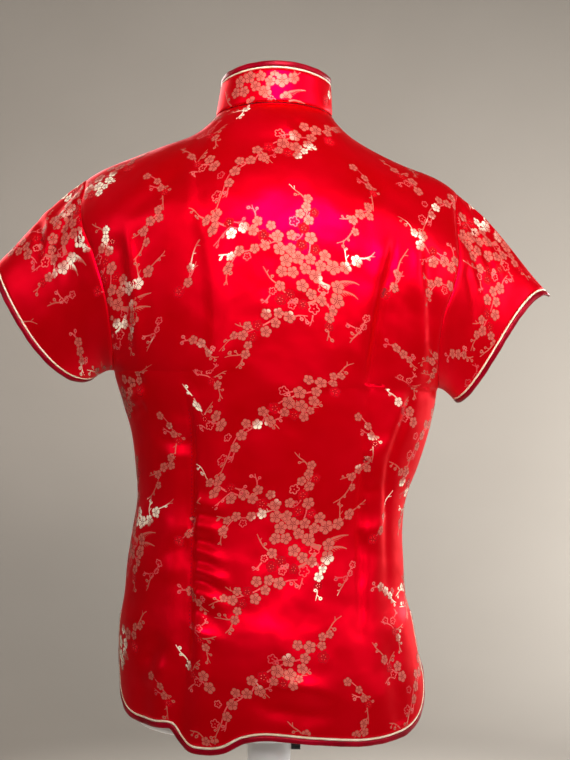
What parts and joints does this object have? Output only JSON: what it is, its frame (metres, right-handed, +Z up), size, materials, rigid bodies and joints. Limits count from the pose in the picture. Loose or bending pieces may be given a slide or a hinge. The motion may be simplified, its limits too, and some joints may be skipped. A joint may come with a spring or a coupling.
{
  "type": "short-sleeved stand-collar brocade blouse on a limbless dress form with a stand",
  "caption": "Short-sleeved, hip-length, stand-collar brocade blouse with piped and bound edges, side slits and a frog-fastened front, on a limbless dress form with a pole and round foot.",
  "frame": {"origin": "middle of the underside of the stand's round foot", "axes": "+Z up along the pole, -Y towards the front of the blouse, +X towards the wearer's left"},
  "size_m": [0.5617, 0.28, 0.8829],
  "materials": {
    "brocade": "glossy red satin brocade",
    "binding": "dark red satin bias binding and cord",
    "piping": "cream satin piping",
    "form_shell": "glossy white moulded shell",
    "knob": "black thumb screw",
    "stand_metal": "white painted steel"
  },
  "bodies": {
    "root": {"back": "brocade", "front_left": "brocade", "front_right": "brocade", "sleeve_left": "brocade", "sleeve_right": "brocade", "collar": "brocade", "collar_piping": "piping", "collar_binding": "binding", "back_piping": "piping", "back_binding": "binding", "front_left_piping": "piping", "front_left_binding": "binding", "front_right_piping": "piping", "front_right_binding": "binding", "cuff_left_piping": "piping", "cuff_left_binding": "binding", "cuff_right_piping": "piping", "cuff_right_binding": "binding", "frog_1_knot": "binding", "frog_1_loop": "binding", "frog_2_knot": "binding", "frog_2_loop": "binding", "frog_3_knot": "binding", "frog_3_loop": "binding", "frog_4_knot": "binding", "frog_4_loop": "binding", "frog_5_knot": "binding", "frog_5_loop": "binding", "form_torso": "form_shell", "form_socket": "form_shell", "form_knob": "knob", "form_pole": "stand_metal", "form_base": "stand_metal"}
  },
  "joints": []
}
